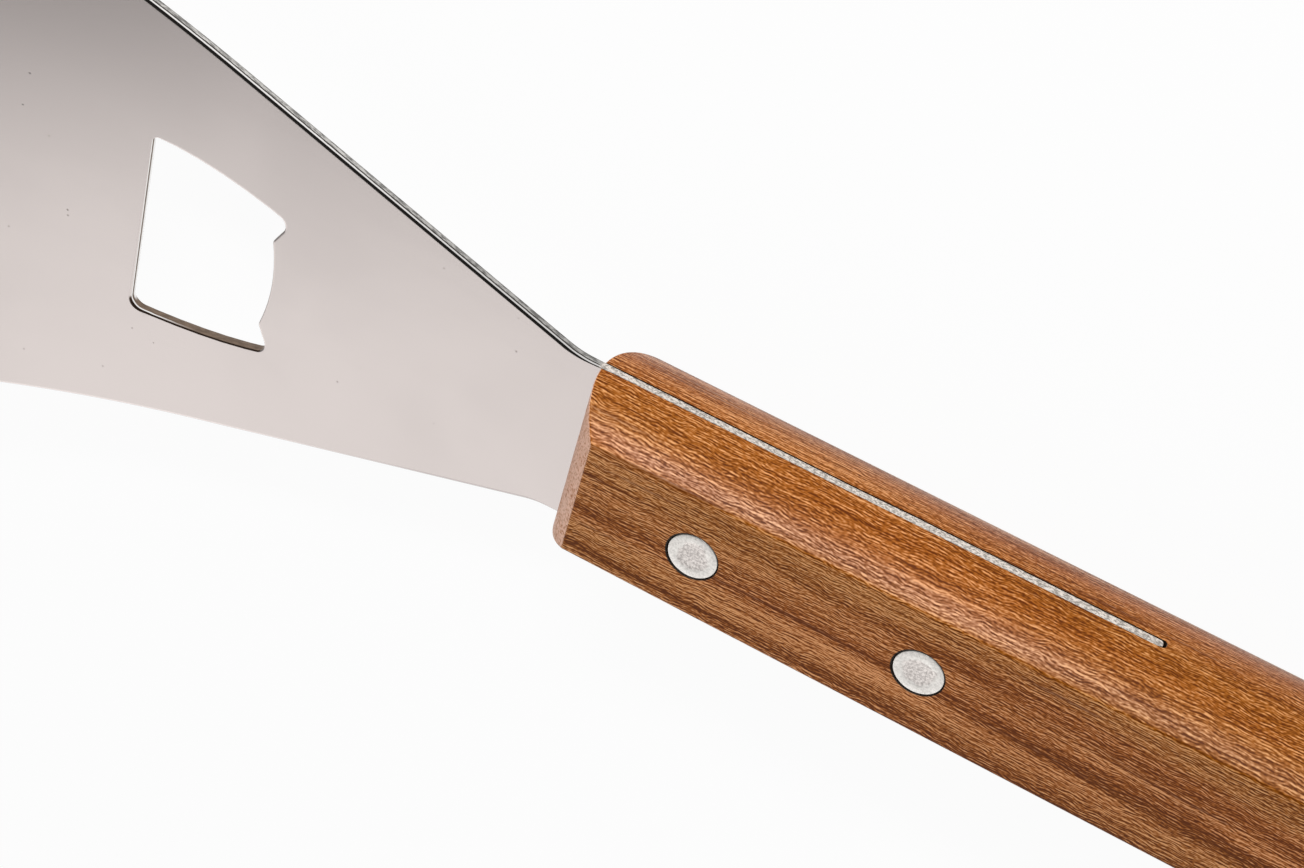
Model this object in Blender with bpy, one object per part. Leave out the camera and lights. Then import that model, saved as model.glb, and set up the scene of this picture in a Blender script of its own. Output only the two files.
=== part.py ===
"""Barbecue spatula: a pressed steel blade with a bottle opener, riveted into a slotted wooden handle.

X runs along the tool, from the tip of the blade to the end of the handle. Y runs across it, Z is up.
Every shape is drawn from the handle's front end, at x = 0, with the sheet's middle at z = 0.
"""

import math

import bmesh
import bpy
from mathutils import Matrix, Vector

# Driving dimensions, in metres and degrees
CLEARANCE = 0.0003            # gap left between pieces that touch

SHEET = 0.0012                # thickness of the blade and its tang
BLADE_LENGTH = 0.215          # along the sheet, from the handle to the front edge
HEAD_WIDTH = 0.104
HEAD_CORNER = 0.009           # corner radius at the front edge
SHOULDER_ROUND = 0.045        # where the flare turns into the sides of the head
FLARE_ANGLE = 18.3            # each side of the neck, to the tool's axis
NECK_LENGTH = 0.0029          # parallel stretch in front of the handle
NECK_ROUND = 0.010
BEND_START = 0.048            # from the handle to where the sheet starts to rise
BEND_RADIUS = 0.190
BEND_ANGLE = 16.0
EDGE_GRIND = 0.004            # width of the bevel ground on the front edge
EDGE_THICKNESS = 0.0006

OPENER_FROM_HANDLE = 0.0403   # to the middle of the lip
OPENER_LENGTH = 0.0174        # from the lip to the straight base
OPENER_BASE_WIDTH = 0.0261
OPENER_BASE_ROUND = 0.0009
OPENER_SIDE_BOW = 0.0007      # how far the sides bow out
LOBE_SPAN = 0.0198            # across the two lobes beside the lip
LOBE_DEPTH = 0.0010           # how far the lobes' corners lie behind the lip
LOBE_ROUND = 0.00125
CUSP_SPAN = 0.0128            # across the two points that end the lip
CUSP_REACH = 0.0008           # how far the points stand out from the lip
CUSP_ROUND = 0.0010

TANG_LENGTH = 0.0675          # part of the sheet inside the handle
TANG_CORNER = 0.0030
KERF_END_GAP = 0.0010         # left between the tang and the end of its kerf

HANDLE_LENGTH = 0.195
HANDLE_THICKNESS = 0.0171     # between the two flat faces
HANDLE_FRONT_WIDTH = 0.0232   # over the crowned edges
HANDLE_REAR_WIDTH = 0.0250
EDGE_CROWN = 0.0033           # height of the crown on each narrow edge
CREASE_ROUND = 0.0004         # where a flat face meets a crowned edge
END_ROUND = 0.012             # radius of both ends, seen from the side
REAR_ROUND = 0.0140           # radius of the rear end, seen from above
HANG_HOLE = 0.008
HANG_HOLE_FROM_END = 0.016
HANG_HOLE_RIM = 0.0008        # width of the break on the hole's rims

RIVET_FROM_FRONT = 0.0181     # handle's front end to the first rivet
RIVET_SPACING = 0.0276
RIVET_HEAD = 0.0060
RIVET_SHANK = 0.0048
RIVET_FLARE = 0.0016          # depth of the flared end under each face
RIVET_SETTING = 0.00005       # how far the heads sit under the wood

ARC_STEP = math.radians(9.0)  # largest turn between two points of an arc
ROUND_SIDES = 32              # sides of holes and rivets
BEND_SLICES = 12              # flat slices that make up the bend

half_sheet = SHEET / 2
half_thickness = HANDLE_THICKNESS / 2
rivet_places = [RIVET_FROM_FRONT, RIVET_FROM_FRONT + RIVET_SPACING]
hang_hole_place = HANDLE_LENGTH - HANG_HOLE_FROM_END
bend = math.radians(BEND_ANGLE)


def handle_half_width(x):
    """Half the handle's width over its crowned edges, which grows evenly to the rear."""
    share = x / HANDLE_LENGTH
    return (HANDLE_FRONT_WIDTH + (HANDLE_REAR_WIDTH - HANDLE_FRONT_WIDTH) * share) / 2


def clear_scene():
    for thing in list(bpy.data.objects):
        bpy.data.objects.remove(thing, do_unlink=True)


def make_material(name, colour, roughness, metallic):
    material = bpy.data.materials.new(name)
    material.use_nodes = True
    shader = material.node_tree.nodes["Principled BSDF"]
    shader.inputs["Base Color"].default_value = (*colour, 1.0)
    shader.inputs["Roughness"].default_value = roughness
    shader.inputs["Metallic"].default_value = metallic
    material.diffuse_color = (*colour, 1.0)
    return material


def make_object(name, bm, parent, material=None):
    """Turn a bmesh into a named object with its faces outward and round faces shaded smooth."""
    bmesh.ops.recalc_face_normals(bm, faces=bm.faces)
    mesh = bpy.data.meshes.new(name)
    bm.to_mesh(mesh)
    bm.free()
    mesh.shade_smooth()
    mesh.set_sharp_from_angle(angle=math.radians(25.0))
    if material:
        mesh.materials.append(material)
    thing = bpy.data.objects.new(name, mesh)
    thing.parent = parent
    bpy.context.collection.objects.link(thing)
    return thing


def make_cutter(name, bm, parent):
    cutter = make_object(name, bm, parent)
    cutter.hide_render = True
    cutter.display_type = "WIRE"
    return cutter


def add_boolean(thing, operation, cutter):
    modifier = thing.modifiers.new(f"{operation.lower()}_{cutter.name}", "BOOLEAN")
    modifier.operation = operation
    modifier.solver = "EXACT"
    modifier.object = cutter


def arc(centre, radius, start, end):
    """Points along an arc, with both ends and the middle included, and angles in radians."""
    steps = 2 * math.ceil(abs(end - start) / (2 * ARC_STEP))
    points = []
    for step in range(steps + 1):
        angle = start + (end - start) * step / steps
        points.append(centre + radius * Vector((math.cos(angle), math.sin(angle))))
    return points


def round_corner(before, corner, after, radius):
    """Points of the arc that is tangent to both sides of a corner, kept within half of either side."""
    to_before = (before - corner).normalized()
    to_after = (after - corner).normalized()
    half_angle = to_before.angle(to_after) / 2
    shorter_side = min((before - corner).length, (after - corner).length)
    radius = min(radius, shorter_side / 2 * math.tan(half_angle))
    tangent = radius / math.tan(half_angle)
    centre = corner + (to_before + to_after).normalized() * radius / math.sin(half_angle)
    first = corner + to_before * tangent - centre
    last = corner + to_after * tangent - centre
    start = math.atan2(first.y, first.x)
    turn = (math.atan2(last.y, last.x) - start + math.pi) % (2 * math.pi) - math.pi
    return arc(centre, radius, start, start + turn)


def outline(corners):
    """Closed outline through (x, y, radius) corners, where a radius of 0 keeps the point as it is."""
    points = []
    for index, (x, y, radius) in enumerate(corners):
        corner = Vector((x, y))
        if radius == 0.0:
            points.append(corner)
            continue
        before = Vector(corners[index - 1][:2])
        after = Vector(corners[(index + 1) % len(corners)][:2])
        points += round_corner(before, corner, after, radius)
    return points


def mirrored(corners):
    """The corners of one side, from front to rear, and the same on the other side, from rear to front."""
    return corners + [(x, -y, radius) for x, y, radius in reversed(corners)]


def bowed(start, end, bow):
    """Points strictly between two ends, along an arc that bows out to the left by the given height."""
    start = Vector(start)
    end = Vector(end)
    chord = end - start
    radius = (chord.length ** 2 / 4 + bow ** 2) / (2 * bow)
    outward = Vector((-chord.y, chord.x)).normalized()
    centre = (start + end) / 2 - outward * (radius - bow)
    first = start - centre
    start_angle = math.atan2(first.y, first.x)
    turn = -2 * math.asin(chord.length / (2 * radius))
    return arc(centre, radius, start_angle, start_angle + turn)[1:-1]


def circle(centre_x, diameter):
    points = []
    for side in range(ROUND_SIDES):
        angle = 2 * math.pi * side / ROUND_SIDES
        points.append(Vector((centre_x + math.cos(angle) * diameter / 2, math.sin(angle) * diameter / 2)))
    return points


def prism(points, low, high, turn=None):
    """Extrude a closed outline from low to high along Z, then turn it if a matrix is given."""
    bm = bmesh.new()
    verts = [bm.verts.new((point.x, point.y, low)) for point in points]
    face = bm.faces.new(verts)
    grown = bmesh.ops.extrude_face_region(bm, geom=[face])
    top = [item for item in grown["geom"] if isinstance(item, bmesh.types.BMVert)]
    bmesh.ops.translate(bm, verts=top, vec=(0.0, 0.0, high - low))
    if turn:
        bmesh.ops.transform(bm, matrix=turn, verts=bm.verts)
    return bm


def turned(profile, centre_x):
    """Solid of revolution about a line along Z, from (radius, z) points that start and end on the line."""
    bm = bmesh.new()
    verts = [bm.verts.new((centre_x + radius, 0.0, z)) for radius, z in profile]
    edges = [bm.edges.new(pair) for pair in zip(verts, verts[1:])]
    axis_point = (centre_x, 0.0, 0.0)
    bmesh.ops.spin(
        bm, geom=verts + edges, cent=axis_point, axis=(0.0, 0.0, 1.0),
        angle=2 * math.pi, steps=ROUND_SIDES, use_duplicate=False,
    )
    bmesh.ops.remove_doubles(bm, verts=bm.verts, dist=1e-6)
    return bm


def blade_outline():
    """The flat blank: head, shoulders, flare, neck and the tang, whose edges follow the handle's."""
    half_head = HEAD_WIDTH / 2
    neck = handle_half_width(0.0)
    shoulder_x = -NECK_LENGTH - (half_head - neck) / math.tan(math.radians(FLARE_ANGLE))
    return outline(mirrored([
        (-BLADE_LENGTH, half_head, HEAD_CORNER),
        (shoulder_x, half_head, SHOULDER_ROUND),
        (-NECK_LENGTH, neck, NECK_ROUND),
        (TANG_LENGTH, handle_half_width(TANG_LENGTH), TANG_CORNER),
    ]))


def opener_outline():
    """Cut-out with a straight base, bowed sides, a lobe in each corner and a hollow lip between two points."""
    lip_x = -OPENER_FROM_HANDLE
    base = (lip_x - OPENER_LENGTH, OPENER_BASE_WIDTH / 2)
    lobe = (lip_x + LOBE_DEPTH, LOBE_SPAN / 2)
    cusp = (lip_x - CUSP_REACH, CUSP_SPAN / 2)
    across = (cusp[0], -cusp[1])
    side = [(point.x, point.y, 0.0) for point in bowed(base, lobe, OPENER_SIDE_BOW)]
    lip = [(point.x, point.y, 0.0) for point in bowed(cusp, across, CUSP_REACH)]
    half = [(*base, OPENER_BASE_ROUND), *side, (*lobe, LOBE_ROUND), (*cusp, CUSP_ROUND)]
    other_half = [(x, -y, radius) for x, y, radius in reversed(half)]
    return outline(half + lip + other_half)


def bent(along, up):
    """Where a point of the flat blank lies once the sheet is rolled up: forward and height."""
    before = min(along, BEND_START)
    rolled = min(max(along - BEND_START, 0.0), BEND_RADIUS * bend)
    after = along - before - rolled
    angle = rolled / BEND_RADIUS
    forward = before + (BEND_RADIUS - up) * math.sin(angle) + after * math.cos(angle)
    height = BEND_RADIUS - (BEND_RADIUS - up) * math.cos(angle) + after * math.sin(angle)
    return forward, height


def shape_sheet(bm):
    """Grind the front edge of the flat blank on its upper side, then bend it."""
    for vert in bm.verts:
        along = -vert.co.x
        up = vert.co.z
        ground = along - (BLADE_LENGTH - EDGE_GRIND)
        if ground > 0.0 and up > 0.0:
            up -= (SHEET - EDGE_THICKNESS) * ground / EDGE_GRIND
        forward, height = bent(along, up)
        vert.co = (-forward, vert.co.y, height)


def make_blade(parent, material):
    bm = bmesh.new()
    hole = RIVET_SHANK + 2 * CLEARANCE
    for loop in [blade_outline(), opener_outline()] + [circle(x, hole) for x in rivet_places]:
        verts = [bm.verts.new((point.x, point.y, -half_sheet)) for point in loop]
        for index, vert in enumerate(verts):
            bm.edges.new((verts[index - 1], vert))
    bmesh.ops.triangle_fill(bm, edges=bm.edges, use_beauty=True, use_dissolve=False)
    cuts = [BEND_START + BEND_RADIUS * bend * index / BEND_SLICES for index in range(BEND_SLICES + 1)]
    for along in cuts + [BLADE_LENGTH - EDGE_GRIND]:
        geometry = list(bm.verts) + list(bm.edges) + list(bm.faces)
        bmesh.ops.bisect_plane(
            bm, geom=geometry, dist=1e-6, plane_co=(-along, 0.0, 0.0), plane_no=(1.0, 0.0, 0.0),
        )
    grown = bmesh.ops.extrude_face_region(bm, geom=list(bm.faces))
    top = [item for item in grown["geom"] if isinstance(item, bmesh.types.BMVert)]
    bmesh.ops.translate(bm, verts=top, vec=(0.0, 0.0, SHEET))
    shape_sheet(bm)
    return make_object("blade", bm, parent, material)


def handle_section(x):
    """Section across the handle: two flat faces and two crowned edges, as (y, z) points."""
    half_width = handle_half_width(x)
    radius = (EDGE_CROWN ** 2 + half_thickness ** 2) / (2 * EDGE_CROWN)
    reach = math.asin(half_thickness / radius)
    right = arc(Vector((half_width - radius, 0.0)), radius, -reach, reach)
    left = [Vector((-point.x, -point.y)) for point in right]
    return right + left


def make_handle_stick():
    """The handle before its ends are shaped: a straight loft with the four creases rounded."""
    bm = bmesh.new()
    rings = []
    for x in (-END_ROUND, HANDLE_LENGTH + END_ROUND):
        rings.append([bm.verts.new((x, point.x, point.y)) for point in handle_section(x)])
    count = len(rings[0])
    for index in range(count):
        bm.faces.new((rings[0][index - 1], rings[0][index], rings[1][index], rings[1][index - 1]))
    creases = []
    for index in (0, count // 2 - 1, count // 2, count - 1):
        creases.append(bm.edges.get((rings[0][index], rings[1][index])))
    bm.faces.new(rings[0])
    bm.faces.new(rings[1])
    bmesh.ops.recalc_face_normals(bm, faces=bm.faces)
    bmesh.ops.bevel(bm, geom=creases, offset=CREASE_ROUND, segments=3, profile=0.5, affect="EDGES")
    return bm


def handle_side_outline():
    """Seen from the side: both ends are arcs about the handle's middle plane."""
    radius = max(END_ROUND, half_thickness * 1.05)
    quarter = math.pi / 2
    front = arc(Vector((radius, 0.0)), radius, quarter, 3 * quarter)
    rear = arc(Vector((HANDLE_LENGTH - radius, 0.0)), radius, -quarter, quarter)
    return front + rear


def handle_top_outline():
    """Seen from above: the rear end is an arc, and the front is left long."""
    side = handle_half_width(HANDLE_LENGTH) * 1.05
    radius = max(REAR_ROUND, side)
    reach = math.asin(side / radius)
    rear = arc(Vector((HANDLE_LENGTH - radius, 0.0)), radius, -reach, reach)
    front = -END_ROUND * 2
    return rear + [Vector((front, side)), Vector((front, -side))]


def flared_profile(shank, head, flare, top):
    """Radius and height along a pin whose straight shank flares to its two ends, at top and -top."""
    neck = top - flare
    return [(0.0, top), (head, top), (shank, neck), (shank, -neck), (head, -top), (0.0, -top)]


def flared_hole(shank, head, flare, x):
    """Cutter for a hole through the handle, whose flares run on past both flat faces."""
    overrun = flare
    wider = head + (head - shank) * overrun / flare
    return turned(flared_profile(shank, wider, flare + overrun, half_thickness + overrun), x)


def make_handle(parent, material):
    handle = make_object("handle", make_handle_stick(), parent, material)
    upright = Matrix.Rotation(math.pi / 2, 4, "X")
    span = HANDLE_REAR_WIDTH
    side = prism(handle_side_outline(), -span, span, upright)
    add_boolean(handle, "INTERSECT", make_cutter("handle_side_shape", side, parent))
    top = prism(handle_top_outline(), -HANDLE_THICKNESS, HANDLE_THICKNESS)
    add_boolean(handle, "INTERSECT", make_cutter("handle_top_shape", top, parent))

    kerf_end = TANG_LENGTH + KERF_END_GAP
    kerf = outline([
        (-END_ROUND, span, 0.0), (kerf_end, span, 0.0), (kerf_end, -span, 0.0), (-END_ROUND, -span, 0.0),
    ])
    half_kerf = half_sheet + CLEARANCE
    add_boolean(handle, "DIFFERENCE", make_cutter("kerf", prism(kerf, -half_kerf, half_kerf), parent))

    shank = RIVET_SHANK / 2 + CLEARANCE
    head = RIVET_HEAD / 2 + CLEARANCE
    for index, x in enumerate(rivet_places):
        hole = flared_hole(shank, head, RIVET_FLARE, x)
        add_boolean(handle, "DIFFERENCE", make_cutter(f"rivet_hole_{index}", hole, parent))
    bore = HANG_HOLE / 2
    hole = flared_hole(bore, bore + HANG_HOLE_RIM, HANG_HOLE_RIM, hang_hole_place)
    add_boolean(handle, "DIFFERENCE", make_cutter("hang_hole", hole, parent))
    return handle


def make_rivet(name, x, parent, material):
    top = half_thickness - RIVET_SETTING
    profile = flared_profile(RIVET_SHANK / 2, RIVET_HEAD / 2, RIVET_FLARE, top)
    return make_object(name, turned(profile, x), parent, material)


def place_tool():
    """Empty that carries the tool, so that its bounding box stands centred on the origin."""
    reach, _ = bent(BLADE_LENGTH, -half_sheet)
    tool = bpy.data.objects.new("tool", None)
    tool.location = ((reach - HANDLE_LENGTH) / 2, 0.0, half_thickness)
    bpy.context.collection.objects.link(tool)
    return tool


def main():
    clear_scene()
    steel = make_material("brushed_steel", (0.66, 0.62, 0.60), 0.28, 1.0)
    wood = make_material("wood", (0.33, 0.13, 0.05), 0.45, 0.0)
    aluminium = make_material("aluminium", (0.70, 0.70, 0.69), 0.45, 1.0)
    tool = place_tool()
    make_blade(tool, steel)
    make_handle(tool, wood)
    make_rivet("rivet_front", rivet_places[0], tool, aluminium)
    make_rivet("rivet_rear", rivet_places[1], tool, aluminium)


main()
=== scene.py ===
"""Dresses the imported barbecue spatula: satin steel blade, wooden handle, flush rivets and a plain studio.

X runs along the tool, from the tip of the blade to the end of the handle. Y runs across it, Z is up.
Sizes are in metres. Outlines are drawn from the handle's front end, with the sheet's middle at z = 0.
"""

import math

import bmesh
import bpy
from bpy.props import FloatProperty, FloatVectorProperty, PointerProperty
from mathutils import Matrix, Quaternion, Vector


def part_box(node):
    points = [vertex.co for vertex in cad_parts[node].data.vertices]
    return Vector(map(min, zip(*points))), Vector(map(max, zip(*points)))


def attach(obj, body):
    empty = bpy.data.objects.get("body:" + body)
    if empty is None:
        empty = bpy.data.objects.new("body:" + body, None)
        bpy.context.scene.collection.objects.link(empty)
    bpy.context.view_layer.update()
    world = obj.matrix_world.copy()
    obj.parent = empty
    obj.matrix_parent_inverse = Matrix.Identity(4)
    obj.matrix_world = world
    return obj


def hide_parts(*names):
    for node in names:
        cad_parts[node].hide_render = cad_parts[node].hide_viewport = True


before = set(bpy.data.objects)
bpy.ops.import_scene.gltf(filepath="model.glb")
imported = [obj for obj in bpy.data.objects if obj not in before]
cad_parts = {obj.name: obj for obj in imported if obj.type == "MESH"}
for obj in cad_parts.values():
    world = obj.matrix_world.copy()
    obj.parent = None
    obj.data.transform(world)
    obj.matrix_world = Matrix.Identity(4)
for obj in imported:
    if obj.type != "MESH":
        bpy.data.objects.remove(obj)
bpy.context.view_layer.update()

bl_info = {
    "name": "Barbecue spatula",
    "version": (1, 0, 0),
    "blender": (4, 5, 0),
    "location": "3D View > Sidebar > Spatula",
    "description": "Builds a riveted barbecue spatula with a bottle opener, and a plain studio for it",
    "category": "Object",
}

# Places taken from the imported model
handle_low, handle_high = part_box("handle")
front_x = handle_low.x                              # the handle's front end
middle_z = (handle_low.z + handle_high.z) / 2       # middle of the sheet and of the handle
half_thickness = (handle_high.z - handle_low.z) / 2
mm = 0.001

# Fineness of the meshes
ARC_STEP = math.radians(3.0)   # largest turn between two points of an arc
ROUND_SIDES = 96               # sides of round holes and rivets
SLICE = 1.5 * mm               # length of the blade's slices through its bend

# Sizes that more than one piece follows
HANDLE_LENGTH = handle_high.x - handle_low.x
HANDLE_FRONT_WIDTH = 23.2 * mm
HANDLE_REAR_WIDTH = 25.0 * mm
NECK_LENGTH = 2.9 * mm         # from the handle to the corner where the blade flares
NECK_ROUND = 10.0 * mm         # rounding of that corner
EDGE_CROWN = 3.3 * mm          # height of the crown on each narrow edge
TANG_LENGTH = 67.5 * mm        # part of the sheet inside the handle
TANG_ROUND = 0.6 * mm          # rounding of the tang's end, through the thickness
TANG_LEAD = 2.0 * mm           # from the handle's front to where the tang is fully sanded down
TANG_TOP = 0.42 * mm           # sanded tang above the sheet's middle
TANG_BOTTOM = 0.52 * mm        # sanded tang below it, at the front
TANG_SWELL = 0.14 * mm         # how much more there is below it behind the swell
SWELL_START = 31.0 * mm
SWELL_END = 38.0 * mm
SHANK_RADIUS = 2.4 * mm        # of the rivets
RIVET_FLARE = 1.6 * mm         # depth of their flared ends
CLEARANCE = 0.3 * mm           # gap round their shanks

# The bottle opener
LIP_X = -40.3 * mm             # lip that lifts a cap
BASE_X = LIP_X - 17.44 * mm    # straight base across from it
BASE_HALF_WIDTH = 13.05 * mm
LEFT_STRETCH = 1.018           # its left side, at -Y, is a little wider
OFF_MIDDLE = -0.2 * mm         # shift of the whole cut-out

# Growth rings across the handle, as (place, lightness) from 0 to 1
GROWTH_RINGS = (
    (0.00, 0.50), (0.18, 0.46), (0.20, 0.16), (0.23, 0.42), (0.32, 0.62),
    (0.38, 0.66), (0.43, 0.34), (0.46, 0.28), (0.51, 0.50), (0.57, 0.66),
    (0.64, 0.50), (0.68, 0.32), (0.72, 0.56), (0.85, 0.52), (1.00, 0.52),
)


# Settings that a user would change
COLOUR = {"subtype": "COLOR", "size": 3, "min": 0.0, "max": 1.0}


class BladeSettings(bpy.types.PropertyGroup):
    """Sizes and colours of the steel blade."""

    sheet: FloatProperty(
        name="Sheet", description="Thickness of the steel", default=1.2 * mm, unit="LENGTH")
    length: FloatProperty(
        name="Length", description="Along the sheet, from the handle to the front edge",
        default=215 * mm, unit="LENGTH")
    head_width: FloatProperty(
        name="Head width", description="Across the head", default=104 * mm, unit="LENGTH")
    flare_angle: FloatProperty(
        name="Flare", description="Angle of each side of the neck to the tool's axis",
        default=math.radians(18.3), subtype="ANGLE")
    bend_start: FloatProperty(
        name="Bend start", description="From the handle to where the sheet starts to rise",
        default=48 * mm, unit="LENGTH")
    bend_radius: FloatProperty(
        name="Bend radius", description="Radius that the sheet is rolled to",
        default=190 * mm, unit="LENGTH")
    bend_angle: FloatProperty(
        name="Bend", description="How far the head is turned up", default=math.radians(16), subtype="ANGLE")
    roll_width: FloatProperty(
        name="Rolled edge", description="Width of the rim that the press draws down on the upper face",
        default=0.40 * mm, unit="LENGTH")
    steel: FloatVectorProperty(
        name="Steel", description="Colour of the satin faces", default=(0.675, 0.610, 0.588), **COLOUR)
    torn_edge: FloatVectorProperty(
        name="Torn edge", description="Colour of the torn outer edges",
        default=(0.36, 0.35, 0.335), **COLOUR)
    opener_edge: FloatVectorProperty(
        name="Opener edge", description="Colour of the torn wall of the opener",
        default=(0.15, 0.108, 0.080), **COLOUR)


class HandleSettings(bpy.types.PropertyGroup):
    """Rounding and colours of the wooden handle."""

    crease_round: FloatProperty(
        name="Crease round", description="Rounding where a flat face meets a crowned edge",
        default=0.25 * mm, unit="LENGTH")
    end_break: FloatProperty(
        name="End break", description="Rounding of the rims of both ends", default=0.2 * mm, unit="LENGTH")
    late_wood: FloatVectorProperty(
        name="Late wood", description="Colour of the darkest streaks",
        default=(0.108, 0.022, 0.0), **COLOUR)
    heart_wood: FloatVectorProperty(
        name="Heart wood", description="Main colour of the wood", default=(0.322, 0.090, 0.003), **COLOUR)
    early_wood: FloatVectorProperty(
        name="Early wood", description="Colour of the lightest streaks",
        default=(0.685, 0.308, 0.112), **COLOUR)
    end_grain: FloatVectorProperty(
        name="End grain", description="Colour of the cut ends", default=(0.74, 0.46, 0.34), **COLOUR)


class RivetSettings(bpy.types.PropertyGroup):
    """Sizes and colour of the two flush rivets."""

    head: FloatProperty(
        name="Head", description="Diameter of the flush heads", default=6.0 * mm, unit="LENGTH")
    from_front: FloatProperty(
        name="From front", description="Handle's front end to the first rivet",
        default=18.1 * mm, unit="LENGTH")
    spacing: FloatProperty(
        name="Spacing", description="Between the rivets", default=27.6 * mm, unit="LENGTH")
    aluminium: FloatVectorProperty(
        name="Aluminium", description="Colour of the sanded rivets", default=(0.88, 0.805, 0.765), **COLOUR)


class StudioSettings(bpy.types.PropertyGroup):
    """Floor and light of the studio."""

    floor: FloatVectorProperty(
        name="Floor", description="Colour of the floor", default=(0.69, 0.69, 0.69), **COLOUR)
    key_light: FloatProperty(
        name="Key light", description="Power of the soft box on the camera's side",
        default=1.45, unit="POWER")
    back_light: FloatProperty(
        name="Back light", description="Power of the soft box that the blade mirrors",
        default=3.85, unit="POWER")
    room_light: FloatProperty(
        name="Room light", description="Level of the light from the horizon",
        default=0.77, min=0.0, max=3.0)


# Outlines
def clamp(value):
    return max(0.0, min(1.0, value))


def arc(centre, radius, start, end):
    """Points along an arc, with both ends included and angles in radians."""
    steps = max(2, 2 * math.ceil(abs(end - start) / (2 * ARC_STEP)))
    points = []
    for step in range(steps + 1):
        angle = start + (end - start) * step / steps
        points.append(centre + radius * Vector((math.cos(angle), math.sin(angle))))
    return points


def round_corner(before, corner, after, radius):
    """Points of the arc that is tangent to both sides of a corner."""
    to_before = (before - corner).normalized()
    to_after = (after - corner).normalized()
    half_angle = to_before.angle(to_after) / 2
    shorter_side = min((before - corner).length, (after - corner).length)
    radius = min(radius, shorter_side / 2 * math.tan(half_angle))
    tangent = radius / math.tan(half_angle)
    centre = corner + (to_before + to_after).normalized() * radius / math.sin(half_angle)
    first = corner + to_before * tangent - centre
    last = corner + to_after * tangent - centre
    start = math.atan2(first.y, first.x)
    turn = (math.atan2(last.y, last.x) - start + math.pi) % (2 * math.pi) - math.pi
    return arc(centre, radius, start, start + turn)


def outline(corners):
    """Closed outline through (x, y, radius) corners, where a radius of 0 keeps the point as it is."""
    points = []
    for index, (x, y, radius) in enumerate(corners):
        corner = Vector((x, y))
        if radius == 0.0:
            points.append(corner)
            continue
        before = Vector(corners[index - 1][:2])
        after = Vector(corners[(index + 1) % len(corners)][:2])
        points += round_corner(before, corner, after, radius)
    return points


def bowed(start, end, bow):
    """Corners strictly between two ends, along an arc that bows out to the left by the given height."""
    start = Vector(start)
    end = Vector(end)
    chord = end - start
    radius = (chord.length ** 2 / 4 + bow ** 2) / (2 * bow)
    outward = Vector((-chord.y, chord.x)).normalized()
    centre = (start + end) / 2 - outward * (radius - bow)
    first = start - centre
    start_angle = math.atan2(first.y, first.x)
    turn = -2 * math.asin(chord.length / (2 * radius))
    points = arc(centre, radius, start_angle, start_angle + turn)
    return [(point.x, point.y, 0.0) for point in points[1:-1]]


def circle(centre_x, radius):
    points = []
    for side in range(ROUND_SIDES):
        angle = 2 * math.pi * side / ROUND_SIDES
        points.append(Vector((centre_x + math.cos(angle) * radius, math.sin(angle) * radius)))
    return points


def wound(points, anticlockwise):
    doubled_area = sum(points[index - 1].cross(point) for index, point in enumerate(points))
    return points if (doubled_area > 0.0) == anticlockwise else points[::-1]


def inset(points, distances):
    """Move each point of a closed outline to its left, which is into the sheet once it is wound."""
    moved = []
    count = len(points)
    for index, point in enumerate(points):
        before = (point - points[index - 1]).normalized()
        after = (points[(index + 1) % count] - point).normalized()
        left = Vector((-before.y - after.y, before.x + after.x)).normalized()
        lean = max(0.5, left.dot(Vector((-after.y, after.x))))
        moved.append(point + left * distances[index] / lean)
    return moved


def handle_half_width(x):
    share = x / HANDLE_LENGTH
    return (HANDLE_FRONT_WIDTH + (HANDLE_REAR_WIDTH - HANDLE_FRONT_WIDTH) * share) / 2


def tang_bottom(x):
    """How far the sanded tang reaches below the sheet's middle."""
    return TANG_BOTTOM + TANG_SWELL * clamp((x - SWELL_START) / (SWELL_END - SWELL_START))


def rivet_places(rivets):
    return rivets.from_front, rivets.from_front + rivets.spacing


def blade_outline(settings):
    """The flat blank: head, shoulders, flare, neck and the tang, whose edges follow the handle's."""
    half_head = settings.head_width / 2
    neck = handle_half_width(0.0)
    shoulder_x = -NECK_LENGTH - (half_head - neck) / math.tan(settings.flare_angle)
    head_corner, shoulder_round, tang_corner = 9.0 * mm, 45.0 * mm, 0.25 * mm
    side = [
        (-settings.length, half_head, head_corner),
        (shoulder_x, half_head, shoulder_round),
        (-NECK_LENGTH, neck, NECK_ROUND),
        (TANG_LENGTH, handle_half_width(TANG_LENGTH), tang_corner),
    ]
    return outline(side + [(x, -y, radius) for x, y, radius in reversed(side)])


def opener_outline():
    """Cut-out with a straight base, bowed sides, a lobe in each corner and a hollow lip."""
    base = (BASE_X, BASE_HALF_WIDTH)
    lobe = (LIP_X + 1.0 * mm, 9.9 * mm)
    cusp = (LIP_X - 0.8 * mm, 6.4 * mm)
    right_corner, left_corner, lobe_round, cusp_round = 0.9 * mm, 1.5 * mm, 1.7 * mm, 1.0 * mm
    half = [(*base, right_corner), *bowed(base, lobe, 0.7 * mm), (*lobe, lobe_round), (*cusp, cusp_round)]
    lip = bowed(cusp, (cusp[0], -cusp[1]), 0.8 * mm)
    left = [(x, -y * LEFT_STRETCH, radius) for x, y, radius in reversed(half)]
    left[-1] = (*left[-1][:2], left_corner)
    return [point + Vector((0.0, OFF_MIDDLE)) for point in outline(half + lip + left)]


# Mesh helpers
def mesh_object(name, bm):
    bmesh.ops.recalc_face_normals(bm, faces=bm.faces)
    mesh = bpy.data.meshes.new(name)
    bm.to_mesh(mesh)
    bm.free()
    thing = bpy.data.objects.new(name, mesh)
    bpy.context.scene.collection.objects.link(thing)
    return thing


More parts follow.
